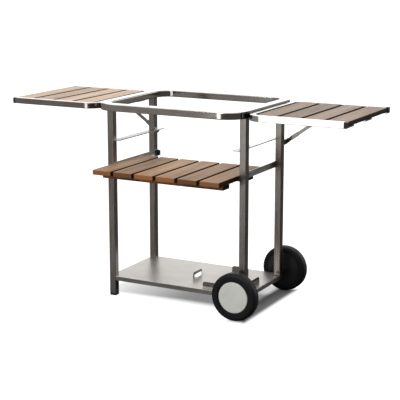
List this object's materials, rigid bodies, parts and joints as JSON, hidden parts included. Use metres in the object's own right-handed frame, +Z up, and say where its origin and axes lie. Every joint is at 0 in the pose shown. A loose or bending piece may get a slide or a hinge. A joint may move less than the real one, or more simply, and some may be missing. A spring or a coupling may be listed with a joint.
{
  "type": "plancha trolley",
  "caption": "Steel tube trolley with an open top ring for a plancha, slatted folding side flaps, a slatted sliding shelf, a sheet lower shelf and a pair of wheels.",
  "frame": {"origin": "on the floor, under the centre of the trolley's bounding box with the flaps level and the middle shelf pulled forward; 37.6 mm in front of the middle of the four legs", "axes": "+X towards the wheels' end, -Y towards the front where the middle shelf pulls out, +Z up"},
  "size_m": [1.5584, 0.6468, 0.86],
  "materials": {
    "steel": "brushed",
    "ring_steel": "brushed",
    "leg_steel": "brushed",
    "shelf_steel": "brushed",
    "rail_steel": "brushed",
    "left_frame_steel": "brushed",
    "right_frame_steel": "brushed",
    "black_plastic": "matt",
    "left_flap_wood": "oiled",
    "right_flap_wood": "oiled",
    "shelf_wood": "oiled",
    "tyre": "matt",
    "hub_cap": "satin"
  },
  "bodies": {
    "frame": {"left_front_leg": "leg_steel", "left_rear_leg": "leg_steel", "right_front_leg": "leg_steel", "right_rear_leg": "leg_steel", "top_ring": "ring_steel", "lower_shelf": "shelf_steel", "bottle_tabs": "steel", "upper_runners": "rail_steel", "left_shelf_rail": "rail_steel", "right_shelf_rail": "rail_steel", "ring_hinge_leaves": "steel", "hinge_pins": "steel", "stay_pins": "steel", "wheel_axles": "steel", "axle_spacers": "steel", "axle_nuts": "steel", "axle_keepers": "steel", "left_foot_plugs": "black_plastic", "right_leg_plugs": "black_plastic", "rail_stops": "black_plastic", "stay_blocks": "black_plastic"},
    "left_flap": {"left_flap_frame": "left_frame_steel", "left_flap_flats": "steel", "left_flap_hinge_leaves": "steel", "left_flap_screws": "steel", "left_flap_end_caps": "black_plastic", "left_flap_slat_1": "left_flap_wood", "left_flap_slat_2": "left_flap_wood", "left_flap_slat_3": "left_flap_wood", "left_flap_slat_4": "left_flap_wood"},
    "right_flap": {"right_flap_frame": "right_frame_steel", "right_flap_flats": "steel", "right_flap_hinge_leaves": "steel", "right_flap_screws": "steel", "right_flap_end_caps": "black_plastic", "right_flap_slat_1": "right_flap_wood", "right_flap_slat_2": "right_flap_wood", "right_flap_slat_3": "right_flap_wood", "right_flap_slat_4": "right_flap_wood"},
    "left_stay": {"left_stay_bar": "steel", "left_stay_sleeve": "steel", "left_stay_end": "steel"},
    "right_stay": {"right_stay_bar": "steel", "right_stay_sleeve": "steel", "right_stay_end": "steel"},
    "sliding_shelf": {"shelf_board_1": "shelf_wood", "shelf_board_2": "shelf_wood", "shelf_board_3": "shelf_wood", "shelf_board_4": "shelf_wood", "shelf_board_5": "shelf_wood", "shelf_board_6": "shelf_wood", "shelf_battens": "shelf_wood", "shelf_screws": "steel"},
    "front_wheel": {"front_tyre": "tyre", "front_hub": "black_plastic", "front_hub_cap": "hub_cap"},
    "rear_wheel": {"rear_tyre": "tyre", "rear_hub": "black_plastic", "rear_hub_cap": "hub_cap"}
  },
  "joints": [
    {"name": "left_flap_fold", "type": "hinge", "parent": "frame", "child": "left_flap", "pos_m": [-0.3467, 0.0376, 0.8222], "axis": [0, -1, 0], "range_deg": [0, 90]},
    {"name": "right_flap_fold", "type": "hinge", "parent": "frame", "child": "right_flap", "pos_m": [0.3467, 0.0376, 0.8222], "axis": [0, 1, 0], "range_deg": [0, 90]},
    {"name": "left_stay_swing", "type": "hinge", "parent": "frame", "child": "left_stay", "pos_m": [-0.3232, 0.2626, 0.6742], "axis": [0, -1, 0], "range_deg": [0, 125]},
    {"name": "right_stay_swing", "type": "hinge", "parent": "frame", "child": "right_stay", "pos_m": [0.3232, 0.2626, 0.6742], "axis": [0, 1, 0], "range_deg": [0, 125]},
    {"name": "shelf_slide", "type": "slide", "parent": "frame", "child": "sliding_shelf", "axis": [0, 1, 0], "range_m": [0, 0.1375]},
    {"name": "front_wheel_spin", "type": "hinge", "parent": "frame", "child": "front_wheel", "pos_m": [0.3152, -0.2124, 0.1], "axis": [0, 1, 0], "continuous": true},
    {"name": "rear_wheel_spin", "type": "hinge", "parent": "frame", "child": "rear_wheel", "pos_m": [0.3152, 0.2876, 0.1], "axis": [0, 1, 0], "continuous": true}
  ],
  "couplings": [
    {"joint": "left_stay_swing", "follows": "left_flap_fold", "ratio": 1.3888},
    {"joint": "right_stay_swing", "follows": "right_flap_fold", "ratio": 1.3888}
  ]
}
